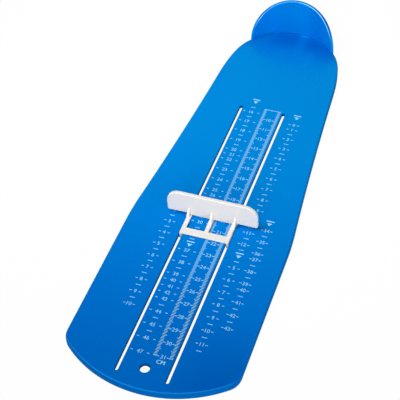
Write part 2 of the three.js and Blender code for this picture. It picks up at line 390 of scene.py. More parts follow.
# %% Model the wall flat
def model_flat_wall():
    piece = add_shape(bpy.ops.mesh.primitive_circle_add, vertices=rim_points, radius=1,
                      rotation=(math.pi / 2, 0, 0))
    piece.name = "heel_wall"
    start_edit(piece)
    pick(piece, "VERT", lambda v: v.co.z < -TINY)
    bpy.ops.mesh.delete(type="VERT")
    pick_all()
    bpy.ops.transform.resize(value=(wall_half_length, 1, cup_height), center_override=(0, 0, 0))
    bpy.ops.transform.translate(value=(0, -cup_thickness / 2, 0))
    pick(piece, "VERT", lambda v: v.co.z < TINY)
    pull(0, 0, -cup_root)
    pick_all()
    bpy.ops.mesh.edge_face_add()
    pull(0, cup_thickness, 0)
    face_outwards()
    pick(piece, "EDGE", lambda e: any(abs(f.normal.y) > 0.9 for f in e.link_faces)
         and any(abs(f.normal.y) < 0.1 and f.normal.z > -0.9 for f in e.link_faces))
    bpy.ops.mesh.bevel(offset=cup_thickness / 2 - TINY, segments=8, affect="EDGES",
                       clamp_overlap=False)
    # The outer half of the foot goes down over the skirt, so that the back is one smooth face
    pick(piece, "FACE", lambda f: f.normal.z < -0.9)
    bpy.ops.mesh.bisect(plane_co=(0, 0, 0), plane_no=(0, 1, 0), threshold=TINY)
    pick(piece, "FACE", lambda f: f.normal.z < -0.9 and f.calc_center_median().y > 0)
    pull(0, 0, cup_root - (plate_top - skirt_cover))
    stop_edit()
    return tidy_mesh(piece, distance=3 * TINY)


wall = model_flat_wall()
print("flat wall:", in_mm(wall.dimensions), "mm")


# %% Sweep the soft corner along the foot of the wall
def model_corner():
    front, radius = -cup_thickness / 2, cup_corner_radius
    inside = front + radius / 3
    half, steps = wall_flat_half - corner_end_gap, rim_points // 2
    x_places = [half * math.sin(math.pi * (i / steps - 0.5)) for i in range(steps + 1)]
    first = x_places[0]
    piece = start_pen("soft_corner", (first, inside, radius))
    line_to(piece, first, front + cup_skin, radius)
    arc_about((first, front + cup_skin - radius, radius), math.pi / 2, steps=8, axis=(1, 0, 0))
    line_to(piece, first, front - radius, -cup_root / 2)
    line_to(piece, first, inside, -cup_root / 2)
    fill_outline()
    bpy.ops.transform.translate(value=(0, 0, -cup_skin))
    for here, there in zip(x_places, x_places[1:]):
        pull(there - here, 0, 0)
    for x in x_places:
        left = (half - abs(x)) / corner_taper
        if left < 1:
            pick(piece, "VERT", lambda v, x=x: abs(v.co.x - x) < TINY)
            size = max(corner_end_share, left * (2 - left))
            bpy.ops.transform.resize(value=(1, size, size), center_override=(x, front, 0))
    stop_edit()
    return tidy_mesh(piece, distance=TINY / 10)


corner = model_corner()
print("soft corner:", in_mm(corner.dimensions), "mm")

# %% Bend the wall round the heel and join it to the tray
def bend_round_heel(piece):
    # Upright cuts let the flat faces follow the bend
    start_edit(piece)
    for i in range(-bend_cuts, bend_cuts + 1):
        cut_across((wall_flat_half * i / bend_cuts, 0, 0), (1, 0, 0))
    stop_edit()
    modify(piece, "SIMPLE_DEFORM", deform_method="BEND", deform_axis="Z", angle=-2 * cup_half_angle)
    piece.location = (0, heel_centre.y + wall_middle, plate_top)
    return place_in_mesh(piece)


combine(wall, corner, "UNION")
bend_round_heel(wall)
print("bent wall:", in_mm(wall.dimensions), "mm")
combine(base, wall, "UNION")
tidy_mesh(base)
print("tray with its heel cup:", len(base.data.vertices), "points")

# %% [markdown]
# Two long slots guide the slider, and the device hangs from a round hole near the toe. Each is cut
# with a closed shape: a circle whose toe-side half is pulled along, then extruded through. The cut
# edges are softened a little, as a mould leaves them.

# %% Cut the slots and the hanging hole
slot_spacing = 31.0 * MM
slot_radius = 1.05 * MM
slot_heel_end = 90.5 * MM
slot_toe_margin = 8.7 * MM
hole_radius = 3.0 * MM
hole_toe_margin = 14.7 * MM
cut_edge_radius = 0.2 * MM

slot_toe_end = toe_distance - slot_toe_margin
slot_line = slot_toe_end - slot_heel_end - 2 * slot_radius
slot_middle = (along(slot_toe_end) + along(slot_heel_end)) / 2
hole_distance = toe_distance - hole_toe_margin


def round_cutter(x, distance, radius, length=0.0, points=48):
    """A column through the plate; its toe-side half is pulled along by a length."""
    y = along(distance)
    piece = add_shape(bpy.ops.mesh.primitive_circle_add, vertices=points, radius=radius, fill_type="NGON",
                      location=(x, y, -base_height), rotation=(0, 0, math.pi / points))
    start_edit(piece)
    pick(piece, "VERT", lambda v: v.co.y < y)
    bpy.ops.transform.translate(value=(0, -length, 0))
    pick_all()
    pull(0, 0, 3 * base_height)
    stop_edit()
    return tidy_mesh(piece)


for side in (-1, 1):
    cutter = round_cutter(side * slot_spacing / 2, slot_heel_end + slot_radius, slot_radius, slot_line)
    combine(base, cutter, "DIFFERENCE")
combine(base, round_cutter(0, hole_distance, hole_radius), "DIFFERENCE")


def on_cut_edge(edge):
    """An edge of a slot or of the hole, at the plate's upper or lower face."""
    inside = all(abs(v.co.x) < slot_spacing and v.co.y < along(slot_heel_end - MM) for v in edge.verts)
    level = any(all(abs(v.co.z - z) < TINY for v in edge.verts) for z in (plate_top, plate_underside))
    return inside and level and any(abs(f.normal.z) < 0.1 for f in edge.link_faces)


start_edit(base)
cut_edges = pick(base, "EDGE", on_cut_edge)
bpy.ops.mesh.bevel(offset=cut_edge_radius, segments=3, affect="EDGES")
stop_edit()
tidy_mesh(base)
print("softened", cut_edges, "edges of the slots and the hole; volume", in_cm3(base))

# %% [markdown]
# The slider is the white moulding: an upright toe stop on a low frame with two reading windows,
# three gussets, and two guide ribs that run in the slots, with hooks under the plate. Each is a
# closed shape, all but the hooks have softened edges, and all of them are joined into one.

# %% Sizes of the slider
stop_reading = 198.9 * MM
stop_half = 30.3 * MM
stop_thickness = 2.4 * MM
stop_height = 18.3 * MM
stop_corner_radius = 8.5 * MM
stop_foot_radius = 1.2 * MM
stop_edge_radius = 0.5 * MM
running_clearance = 0.3 * MM
frame_rise = 1.7 * MM
frame_length = 19.2 * MM
crossbar_width = 4.9 * MM
rail_width = 2.8 * MM
middle_rail_half = 1.35 * MM
frame_edge_radius = 0.25 * MM
gusset_height = 5.0 * MM
gusset_length = 4.0 * MM
gusset_thickness = 1.5 * MM
gusset_sink = 0.6 * MM
leg_clearance = 0.3 * MM
rib_half = slot_radius - leg_clearance
hook_length = 5.0 * MM
hook_reach = 1.2 * MM
hook_lip = 0.4 * MM
hook_thickness = 1.0 * MM
corner_least = math.radians(30)

measuring_face = along(stop_reading)
toe_face = measuring_face - stop_thickness
frame_front = measuring_face - frame_length
frame_rear = measuring_face - stop_edge_radius
frame_middle = (frame_front + frame_rear) / 2
frame_bottom = plate_top + running_clearance
frame_top = plate_top + frame_rise
rail_outer = slot_spacing / 2 + rib_half


def is_corner(edge):
    return len(edge.link_faces) == 2 and edge.calc_face_angle(0) > corner_least


def soften(piece, radius, segments=3, test=is_corner):
    start_edit(piece)
    face_outwards()
    pick(piece, "EDGE", test)
    bpy.ops.mesh.bevel(offset=radius, segments=segments, affect="EDGES")
    stop_edit()
    return tidy_mesh(piece)


# %% Model the frame with its two windows
def model_frame():
    piece = add_shape(bpy.ops.mesh.primitive_plane_add, (2 * rail_outer, frame_rear - frame_front, 1),
                      size=1, location=(0, frame_middle, frame_bottom))
    piece.name = "slider_moulding"
    start_edit(piece)
    window_front, window_rear = frame_front + crossbar_width, toe_face + stop_edge_radius
    inner = rail_outer - rail_width
    for x in (-inner, -middle_rail_half, middle_rail_half, inner):
        cut_across((x, 0, 0), (1, 0, 0))
    for y in (window_front, window_rear):
        cut_across((0, y, 0), (0, 1, 0))

    def in_window(face):
        at = face.calc_center_median()
        return middle_rail_half < abs(at.x) < inner and window_front < at.y < window_rear

    pick(piece, "FACE", in_window)
    bpy.ops.mesh.delete(type="FACE")
    pick_all()
    pull(0, 0, frame_top - frame_bottom)
    stop_edit()
    return soften(piece, frame_edge_radius)


slider = model_frame()
print("slider frame:", in_mm(slider.dimensions), "mm")


# %% Model the upright stop
def model_stop():
    y, top = measuring_face, plate_top + stop_height
    foot = Vector((stop_half - stop_foot_radius, y, frame_top + stop_foot_radius))
    corner = Vector((stop_half - stop_corner_radius, y, top - stop_corner_radius))
    piece = start_pen("toe_stop", (0, y, frame_bottom))
    line_to(piece, rail_outer, y, frame_bottom)
    line_to(piece, rail_outer, y, frame_top)
    line_to(piece, foot.x, y, frame_top)
    arc_about(foot, math.pi / 2, steps=6, axis=(0, 1, 0))
    line_to(piece, stop_half, y, corner.z)
    arc_about(corner, math.pi / 2, steps=20, axis=(0, 1, 0))
    line_to(piece, 0, y, top)
    fill_outline(mirrored=True)
    pull(0, -stop_thickness, 0)
    stop_edit()
    return soften(piece, stop_edge_radius, segments=4,
                  test=lambda e: any(abs(f.normal.y) > 0.9 for f in e.link_faces))


combine(slider, model_stop(), "UNION")
print("with its stop:", in_mm(slider.dimensions), "mm")


# %% Add the gussets, the guide ribs and the hooks
def copy_of(piece, *offset):
    """A copy with its own mesh, moved by an offset."""
    twin = piece.copy()
    twin.data = piece.data.copy()
    bpy.context.scene.collection.objects.link(twin)
    twin.location = offset
    return place_in_mesh(twin)


def mirrored_copy(piece):
    twin = copy_of(piece, 0, 0, 0)
    twin.scale = (-1, 1, 1)
    return tidy_mesh(place_in_mesh(twin))


def model_gusset():
    x, back, end = -gusset_thickness / 2, toe_face + gusset_sink, toe_face - gusset_length
    top, sunk = frame_top + gusset_height, frame_top - gusset_sink
    side = [(back, sunk), (back, top), (toe_face, top), (end, frame_top), (end, sunk)]
    piece = draw_slab("gusset", [(x, y, z) for y, z in side], gusset_thickness, 0, 0)
    return soften(piece, frame_edge_radius)


def model_rib():
    low, high = plate_underside, frame_top - gusset_sink
    piece = add_shape(bpy.ops.mesh.primitive_cube_add, (2 * rib_half, frame_rear - frame_front, high - low),
                      size=1, location=(slot_spacing / 2, frame_middle, (low + high) / 2))
    return soften(piece, frame_edge_radius,
                  test=lambda e: all(abs(f.normal.z) < 0.5 for f in e.link_faces))


def model_hook():
    inner, outer, tip = rail_outer - 2 * rib_half, rail_outer, rail_outer + hook_reach
    top, sunk = plate_underside - running_clearance, frame_top - gusset_sink
    foot = top - hook_thickness
    section = [(inner, sunk), (inner, foot), (outer, foot), (tip, top - hook_lip), (tip, top),
               (outer, top), (outer, sunk)]
    y = frame_front + hook_length
    return tidy_mesh(draw_slab("hook", [(x, y, z) for x, z in section], 0, -hook_length, 0))


gusset, hook = model_gusset(), model_hook()
rear_hook = copy_of(hook, 0, frame_rear - frame_front - hook_length, 0)
features = [gusset, copy_of(gusset, slot_spacing / 2, 0, 0), copy_of(gusset, -slot_spacing / 2, 0, 0)]
for right in (model_rib(), hook, rear_hook):
    features += [right, mirrored_copy(right)]
for feature in features:
    combine(slider, feature, "UNION")
tidy_mesh(slider)
print("slider:", len(slider.data.vertices), "points,", in_cm3(slider))

# %% [markdown]
# The scale is printed in white ink, a very thin layer: each mark is a slab that starts just inside
# the plate and stands a few hundredths of a millimetre proud of it, well under the slider. Bars,
# digits and strokes are modelled once, and then stamped wherever the scale needs them.

# %% Sizes of the print
ink_sink = 0.02 * MM
ink_rise = 0.03 * MM
ink_middle = plate_top + (ink_rise - ink_sink) / 2
ink_depth = ink_sink + ink_rise
line_width = 0.42 * MM
digit_size = 3.75 * MM
centimetre = 10 * MM
ladder_first, ladder_last = 10, 31
ladder_lead = 10.3 * MM
ladder_left, ladder_right = 1.2 * MM, 13.2 * MM
ladder_tick, ladder_nub = 1.7 * MM, 0.8 * MM
unit_size, unit_gap, unit_double = 3.7 * MM, 3.8 * MM, 0.12 * MM
band_width = 2.1 * MM
band_pitch = 2.85 * MM
band_stroke = 1.4 * MM
band_sink = 0.01 * MM
band_slope = 1.34
band_rise = band_slope * band_width
end_overlap = 0.1 * MM
column_pitch = 5 * MM
column_dash, column_tick = 3.3 * MM, 1.5 * MM
head_bar_size, head_bar_lead = (5.2 * MM, 0.8 * MM), 1.9 * MM
head_arrow_size, head_arrow_lag = (3.4 * MM, 2.4 * MM), 0.6 * MM

ladder_start = ladder_first * centimetre - ladder_lead
ladder_end = ladder_last * centimetre
ladder_length = ladder_end - ladder_start
band_middles = (ladder_left + band_width / 2, ladder_right - band_width / 2)


# %% Helpers for printing
def ink_bar(width, length=line_width):
    return add_shape(bpy.ops.mesh.primitive_cube_add, (width, length, ink_depth), size=1)


def ink_text(words, size=digit_size):
    """The words as a thin closed slab, with the middle of its box at the origin."""
    bpy.ops.object.select_all(action="DESELECT")
    bpy.ops.object.text_add()
    piece = bpy.context.object
    set_all(piece.data, {"body": words, "size": size, "extrude": ink_depth / 2, "resolution_u": 3})
    bpy.ops.object.convert(target="MESH")
    piece = bpy.context.object
    places = [v.co for v in piece.data.vertices]
    middle = [(min(p[i] for p in places) + max(p[i] for p in places)) / 2 for i in range(3)]
    piece.location = [-m for m in middle]
    place_in_mesh(piece)
    return tidy_mesh(piece, distance=TINY / 10)


def ink_arrow(width, length):
    """A small arrowhead that points to the toe, from a triangle that is root 3 wide and 1.5 long."""
    piece = add_shape(bpy.ops.mesh.primitive_circle_add, (width / math.sqrt(3), length / 1.5, 1),
                      vertices=3, radius=1, fill_type="NGON", location=(0, 0, -ink_depth / 2),
                      rotation=(0, 0, math.pi))
    start_edit(piece)
    pull(0, 0, ink_depth)
    stop_edit()
    return tidy_mesh(piece)


def stamp(master, x, distance, height=0.0):
    return copy_of(master, x, along(distance), ink_middle + height)


def join_print(name, marks, *masters):
    """Joins the marks and removes the masters that they were stamped from."""
    select_only(*marks)
    bpy.ops.object.join()
    piece = bpy.context.object
    piece.name = name
    for master in masters:
        bpy.data.objects.remove(master)
    print(name, "has", len(marks), "marks and", len(piece.data.polygons), "faces")
    return piece


# %% Print the centimetre ladder
def print_ladder():
    marks = []
    tick, nub = ink_bar(ladder_tick), ink_bar(ladder_nub)
    left, right = ladder_left + band_width, ladder_right - band_width
    middle = (left + right) / 2
    for number in range(ladder_first, ladder_last + 1):
        distance = number * centimetre
        digits = ink_text(str(number))
        marks.append(stamp(digits, middle, distance))
        bpy.data.objects.remove(digits)
        marks += [stamp(tick, x, distance) for x in (left + ladder_tick / 2, right - ladder_tick / 2)]
        if number != ladder_last:
            half_way = distance + centimetre / 2
            marks += [stamp(nub, x, half_way) for x in (left + ladder_nub / 2, right - ladder_nub / 2)]

    start_line, end_line = ink_bar(ladder_right - ladder_left), ink_bar(band_width + end_overlap)
    marks.append(stamp(start_line, middle, ladder_start))
    marks += [stamp(end_line, x, ladder_end) for x in band_middles]
    # The unit is printed twice, a little to each side, which makes it bolder than the figures
    unit = ink_text("CM", unit_size)
    for side in (-1, 1):
        marks.append(stamp(unit, middle + side * unit_double, ladder_end + unit_gap, side * ink_sink / 4))
    return join_print("scale_centimetres", marks, tick, nub, start_line, end_line, unit)


# %% [markdown]
# The ladder stands between two hatched bands. A band is one slanting stroke, repeated by an Array
# modifier and cut off level at both ends, over a thinner veil of ink.


# %% Print the hatched bands
def print_bands():
    stroke = ink_bar(band_width, band_stroke)
    start_edit(stroke)
    pick(stroke, "VERT", lambda v: v.co.x > 0)
    bpy.ops.transform.translate(value=(0, band_rise, 0))
    stop_edit()
    modify(stroke, "ARRAY", count=int((ladder_length + 2 * band_rise) / band_pitch),
           use_relative_offset=False, use_constant_offset=True,
           constant_offset_displace=(0, -band_pitch, 0))
    start_edit(stroke)
    for y, direction in ((0, 1), (-ladder_length, -1)):
        cut_across((0, y, 0), (0, direction, 0), clear_outer=True, use_fill=True)
    stop_edit()
    veil = ink_bar(band_width - line_width, ladder_length)
    half_way = ladder_start + ladder_length / 2
    strokes = [stamp(stroke, x, ladder_start, -band_sink) for x in band_middles]
    veils = [stamp(veil, x, half_way, -2 * band_sink) for x in band_middles]
    return join_print("scale_strokes", strokes, stroke), join_print("scale_veils", veils, veil)


strokes, veils = print_bands()
prints = [print_ladder()]

# %% [markdown]
# Four more columns carry size numbers on an even pitch. Each is a line of entries, from the heel
# towards the toe: a number, a dash between two numbers, or a dot where nothing is printed. The name
# at its head is left out, and a bar with an arrowhead takes its place.

# %% Print the columns of sizes
# For each column: X, its first place and how far its ticks are off, all in mm, then its heads
columns = {
    "scale_left_inner": (-7.0, 90.0, 5.1, [83.5, 224.5],
                         "- 16 - 17 - 18 - 19 - 20 21 22 - 23 - 24 - 25 26 27 - 28 29 30 - . - . 37 "
                         "- 38 - 39 40 41 42 43 - 44 - 45 - 46 . 47"),
    "scale_right_inner": (25.5, 100.0, 3.0, [92.0, 224.8],
                          "0 1 - 2 - 3 - 4 - 5 - 6 - 7 - 8 - 9 - 10 - 11 - 12 - . - 5 - 6 - 7 - 8 - 9 "
                          "- 10 - 11 -"),
    "scale_left_outer": (-26.0, 199.6, 3.0, [], "2 - 3 - 4 - 5 - 6 - 7 - 8 - 9 - 10"),
    "scale_right_outer": (36.0, 200.0, 3.0, [193.5],
                          "34 - 35 - 36 37 - 38 - 39 40 - 41 - 42 - 43"),
}


def print_column(name, x, first, tick_offset, heads, entries):
    x, first, tick_offset = x * MM, first * MM, tick_offset * MM
    marks, digits = [], {}
    dash, tick = ink_bar(column_dash), ink_bar(column_tick)
    head_bar, arrow = ink_bar(*head_bar_size), ink_arrow(*head_arrow_size)
    for place, entry in enumerate(entries.split()):
        distance = first + place * column_pitch
        if entry == "-":
            marks.append(stamp(dash, x, distance))
        elif entry != ".":
            if entry not in digits:
                digits[entry] = ink_text(entry)
            marks.append(stamp(digits[entry], x, distance))
            marks += [stamp(tick, x + side * tick_offset, distance) for side in (-1, 1)]
    for head in heads:
        marks.append(stamp(head_bar, x, head * MM - head_bar_lead))
        marks.append(stamp(arrow, x, head * MM + head_arrow_lag))
    return join_print(name, marks, dash, tick, head_bar, arrow, *digits.values())


for name, column in columns.items():
    prints.append(print_column(name, *column))

# %% [markdown]
# Only real corners of a moulding look sharp. Each is shaded smooth up to an angle, and its normals
# are weighted by area, so that flat faces stay flat.

# %% Smooth both mouldings
smooth_angle = math.radians(38)

for piece in (base, slider):
    select_only(piece)
    bpy.ops.object.shade_smooth_by_angle(angle=smooth_angle)
    modify(piece, "WEIGHTED_NORMAL", mode="FACE_AREA", keep_sharp=True)
    print(piece.name, "shaded,", len(piece.data.polygons), "faces")

# %% [markdown]
# A material is a tree of nodes. Each helper adds a node, feeds it with fixed values or the outputs of
# other nodes, and gives back its own output. A mask is an output between 0 and 1 that says where on
# the surface something holds.

# %% Helpers for materials
column_width, row_height = 220, 200


def is_output(value):
    return isinstance(value, bpy.types.NodeSocket)


def feed(socket, value):
    """Gives a socket a fixed value, or the output of another node."""
    if is_output(value):
        socket.id_data.links.new(value, socket)
    elif socket.type == "RGBA":
        socket.default_value = (*value, 1)
    else:
        socket.default_value = value


def new_node(kind, given, tree=None, **settings):
    """Adds a node, fed with what is given, to a tree, or else to the tree that feeds it."""
    tree = tree or next(value.id_data for value in given.values() if is_output(value))
    node = tree.nodes.new(kind)
    set_all(node, settings)
    for name, value in given.items():
        feed(node.inputs[name], value)
    return node


def start_with(tree, kind):
    """The outputs of a node that needs no input."""
    return tree.nodes.new(kind).outputs


def maths(operation, *values):
    return new_node("ShaderNodeMath", dict(enumerate(values)), operation=operation).outputs["Value"]


def all_of(value, *others):
    """Holds where all the masks hold; a plain number makes a mask weaker."""
    for other in others:
        value = maths("MULTIPLY", value, other)
    return value


def any_of(value, *others):
    for other in others:
        value = maths("MAXIMUM", value, other)
    return value


def without(value, other):
    """Holds where the first mask does and the other doesn't."""
    return all_of(value, maths("SUBTRACT", 1.0, other))


def away_from(value, middle):
    return maths("ABSOLUTE", maths("SUBTRACT", value, middle))


def spread(value, limits, **settings):
    """Goes from 0 at the first limit to 1 at the second, which may be the lower one."""
    given = {"Value": value, "From Min": limits[0], "From Max": limits[1]}
    return new_node("ShaderNodeMapRange", given, **settings).outputs["Result"]


def mask(value, limits):
    return spread(value, limits, interpolation_type="SMOOTHSTEP")


def where(*tests):
    """A mask from pairs of a value and its limits, which holds where all of them do."""
    return all_of(*(mask(*test) for test in tests))


def flat_vector(x, y):
    return new_node("ShaderNodeCombineXYZ", {"X": x, "Y": y}).outputs["Vector"]


def vector_maths(operation, output, *vectors):
    node = new_node("ShaderNodeVectorMath", dict(enumerate(vectors)), operation=operation)
    return node.outputs[output]


def length_of(x, y):
    return vector_maths("LENGTH", "Value", flat_vector(x, y))


def parts_of(vector):
    return new_node("ShaderNodeSeparateXYZ", {"Vector": vector}).outputs


def noise(place, scale, detail):
    given = {"Vector": place, "Scale": scale, "Detail": detail}
    return new_node("ShaderNodeTexNoise", given).outputs["Fac"]


def mix_colours(factor, first, second):
    """Goes from the first colour to the second as the factor goes from 0 to 1."""
    mix = new_node("ShaderNodeMix", {"Factor": factor}, data_type="RGBA")
    for socket, colour in zip([s for s in mix.inputs if s.type == "RGBA"], (first, second)):
        feed(socket, colour)
    return next(socket for socket in mix.outputs if socket.type == "RGBA")


def lay_out(tree):
    """Puts the nodes in columns, each to the left of all the nodes that it feeds."""
    column = dict.fromkeys((node.name for node in tree.nodes), 0)
    for _ in tree.nodes:
        for link in tree.links:
            giver, taker = link.from_node.name, link.to_node.name
            column[giver] = max(column[giver], column[taker] + 1)
    places = list(column.values())
    for i, (name, place) in enumerate(column.items()):
        tree.nodes[name].location = (-place * column_width, -places[:i].count(place) * row_height)
    print("laid out", len(places), "nodes in", max(places) + 1, "columns")


def start_material(name):
    material = bpy.data.materials.new(name)
    material.use_nodes = True
    tree = material.node_tree
    return material, tree, tree.nodes["Principled BSDF"]


# %% [markdown]
# Both mouldings share one surface effect: soft clouds in the plastic, a roughness that wanders, and
# the faint ripple of a moulded face. It is a node group that gives back only values and a normal.

# %% Build the shared surface effect
clouds_noise, wander_noise, ripple_noise = (22, 3), (140, 5), (420, 2)
clouds_limits = (0.3, 0.7)
ripple_height = 0.02 * MM


def build_moulded_surface():
    tree = bpy.data.node_groups.new("moulded_surface", "ShaderNodeTree")
    for name in ("Roughness", "Wander", "Ripple"):
        tree.interface.new_socket(name, in_out="INPUT", socket_type="NodeSocketFloat")
    for name, kind in (("Clouds", "Float"), ("Roughness", "Float"), ("Normal", "Vector")):
        tree.interface.new_socket(name, in_out="OUTPUT", socket_type="NodeSocket" + kind)
    given = start_with(tree, "NodeGroupInput")
    place = start_with(tree, "ShaderNodeTexCoord")["Object"]
    clouds = spread(noise(place, *clouds_noise), clouds_limits)
    wander = maths("SUBTRACT", noise(place, *wander_noise), 0.5)
    roughness = maths("MULTIPLY_ADD", wander, given["Wander"], given["Roughness"])
    ripple = {"Height": noise(place, *ripple_noise), "Distance": ripple_height,
              "Strength": given["Ripple"]}
    normal = new_node("ShaderNodeBump", ripple).outputs["Normal"]
    new_node("NodeGroupOutput", {"Clouds": clouds, "Roughness": roughness, "Normal": normal})
    lay_out(tree)
    return tree


moulded_surface = build_moulded_surface()


def start_plastic(name, roughness, wander, ripple):
    """Starts a material that has the moulded surface, with its own three values."""
    material, tree, shader = start_material(name)
    given = {"Roughness": roughness, "Wander": wander, "Ripple": ripple}
    effect = new_node("ShaderNodeGroup", given, tree, node_tree=moulded_surface).outputs
    for socket in ("Roughness", "Normal"):
        feed(shader.inputs[socket], effect[socket])
    return material, tree, shader, effect


# %% [markdown]
# The blue isn't the same all over, because light and shade are painted into it: painted shade
# deepens it towards the toe and round the foot of the cup, the rim has painted shade on its top with
# a thin painted highlight line, and the wall, the skirt and the cuts get painted light or shade too.
# So it is laid on in layers, each with its own mask. A pair of limits says where a mask is 0 and
# where it is 1, by place or by how far a face turns.

# %% Colours and masks of the blue plastic
blue_surface = (0.28, 0.06, 0.25)
blue_pale, blue_deep = (0, 0.146, 0.5), (0, 0.138, 0.488)
blue_toe_shade, blue_corner_shade = (0, 0.132, 0.56), (0, 0.098, 0.47)
blue_foot_shade = (0, 0.098, 0.43)
blue_wall_painted_light, blue_wall_painted_shade = (0, 0.163, 0.575), (0, 0.122, 0.462)
blue_rim_shade, blue_rim_highlight = (0, 0.07, 0.32), (0.27, 0.66, 1.0)
blue_skirt_shade, blue_brim_highlight = (0, 0.088, 0.34), (0.01, 0.185, 0.6)
blue_cut_shade = (0, 0.08, 0.29)

# Painted shade along the plate, growing towards the toe
toe_shade_reach = (along(100 * MM), along(toe_distance))
# Painted shade at the toe's right corner
corner_shade_reach, corner_shade_side = (along(265 * MM), along(325 * MM)), (0, 45 * MM)
# Painted shade round the foot of the cup; bright_side spares the left side of it
foot_shade_reach = (cup_inside - 33 * MM, cup_inside - 4 * MM)
foot_shade_behind, foot_shade_height = (6 * MM, 30 * MM), (plate_top + 2 * MM, plate_top + 0.5 * MM)
# A painted reflection: a lighter streak left in the painted shade at the cup's foot
reflection_streak_middle, reflection_streak_reach, reflection_streak_strength = 6 * MM, (5.5 * MM, 1 * MM), 0.5
bright_side, bright_strength = (-8 * MM, -24 * MM), 0.85
# Painted light on the left inside the wall, and painted shade on a band to the right
wall_turn, wall_height = (-0.8, -0.95), (plate_top + 1 * MM, plate_top + 4 * MM)
wall_light_reach, wall_shade_reach, wall_shade_middle = (-4 * MM, -22 * MM), (8 * MM, 3 * MM), 15 * MM
# Painted shade on the rim's top, high up on the wall
rim_shade_turn, rim_height = (0.8, 0.55), (15 * MM, 24 * MM)
# A painted highlight line along the inner edge of the rim, strongest on the right and at the far left
highlight_start, highlight_end = (-0.96, -0.91), (-0.7, -0.84)
highlight_right, highlight_left, highlight_elsewhere = (-6 * MM, 8 * MM), (-20 * MM, -26 * MM), 0.3
# Painted shade on the skirt
skirt_shade_height, skirt_shade_turn = (plate_top - TINY, plate_top - 0.05 * MM), (0.85, 0.55)
# A painted highlight along the top of the skirt at the toe
brim_start, brim_end, brim_front = (0.998, 0.975), (0.78, 0.92), (-0.18, -0.34)
# Painted shade inside the slots and the hole
slot_edge, slot_shade = (slot_radius + 0.5 * MM, slot_radius - TINY), 0.5
hole_edge = (hole_radius + 0.6 * MM, hole_radius - TINY)


def mask_toe(at):
    """Painted shade that deepens the blue along to the toe, and most of all at the toe's right corner."""
    return mask(at["Y"], toe_shade_reach), where((at["Y"], corner_shade_reach), (at["X"], corner_shade_side))


def mask_foot(at, ahead):
    """Painted shade round the foot of the cup, and where it dulls the gloss. A painted reflection streak is
    spared in both, and the left side is spared the shade.
    """
    from_centre = length_of(at["X"], ahead)
    foot = where((from_centre, foot_shade_reach), (ahead, foot_shade_behind), (at["Z"], foot_shade_height))
    off_reflection_streak = away_from(at["X"], reflection_streak_middle)
    streak = all_of(mask(off_reflection_streak, reflection_streak_reach), reflection_streak_strength)
    bright = all_of(mask(at["X"], bright_side), bright_strength)
    return without(foot, any_of(streak, bright)), without(foot, streak)


def mask_wall(at, turn):
    """Painted light on the paler part inside the wall and painted shade on the deeper part, painted shade
    on the rim, and the painted highlight line on it.
    """
    inside = where((turn, wall_turn), (at["Z"], wall_height))
    left = all_of(inside, mask(at["X"], wall_light_reach))
    right = all_of(inside, mask(away_from(at["X"], wall_shade_middle), wall_shade_reach))
    high_up = (at["Z"], rim_height)
    rim = where((maths("ABSOLUTE", turn), rim_shade_turn), high_up)
    lit = any_of(mask(at["X"], highlight_right), mask(at["X"], highlight_left), highlight_elsewhere)
    line = where((turn, highlight_start), (turn, highlight_end), high_up)
    return left, right, rim, all_of(line, lit)


def mask_edge(at, tilt):
    """Painted shade on the skirt, and the fine painted highlight that runs along its top at the toe."""
    skirt = where((at["Z"], skirt_shade_height), (tilt["Z"], skirt_shade_turn))
    return skirt, where((tilt["Z"], brim_start), (tilt["Z"], brim_end), (tilt["Y"], brim_front))


def mask_cuts(at):
    """Painted shade on the cut faces inside the slots and the hole."""
    off_line = maths("SUBTRACT", maths("ABSOLUTE", at["X"]), slot_spacing / 2)
    past_end = maths("SUBTRACT", away_from(at["Y"], slot_middle), slot_line / 2)
    off_slot = length_of(off_line, maths("MAXIMUM", past_end, 0.0))
    off_hole = length_of(at["X"], maths("SUBTRACT", at["Y"], along(hole_distance)))
    in_slot = all_of(mask(off_slot, slot_edge), slot_shade)
    return any_of(in_slot, mask(off_hole, hole_edge))


# %% [markdown]
# The reflection in the blue plastic is blue from above and pale only along the surface, so it is a
# glossy shader of its own, whose colour goes with the angle of view. Part of it is a painted
# reflection: its colour fades from the heel to the toe along the painted toe shade, and it is dulled
# where painted shade lies, in the slots and the hole, at the foot of the cup, on the rim and on the skirt.

# %% Build the blue plastic
# The gloss colour is painted to fade from the heel to the toe
gloss_heel, gloss_toe = (0, 0.085, 0.12), (0, 0.015, 0.04)
gloss_edge = (0.12, 0.45, 0.7)
gloss_power = 5.0
# How much painted shade dulls the gloss at the foot of the cup, and on the rim and the skirt
foot_shade_dulling, edge_shade_dulling = 0.95, 0.7


def add_blue_gloss(shader, effect, toe_shade, dull):
    tree = shader.id_data
    angle = start_with(tree, "ShaderNodeLayerWeight")["Facing"]
    # Painted reflection: stronger at the heel, fading along the painted toe shade
    mirror = mix_colours(toe_shade, gloss_heel, gloss_toe)
    sheen = mix_colours(maths("POWER", angle, gloss_power), mirror, gloss_edge)
    given = {"Color": mix_colours(dull, sheen, (0, 0, 0)),
             "Roughness": effect["Roughness"], "Normal": effect["Normal"]}
    gloss = new_node("ShaderNodeBsdfGlossy", given)
    both = new_node("ShaderNodeAddShader", {0: shader.outputs["BSDF"], 1: gloss.outputs["BSDF"]})
    feed(tree.nodes["Material Output"].inputs["Surface"], both.outputs["Shader"])


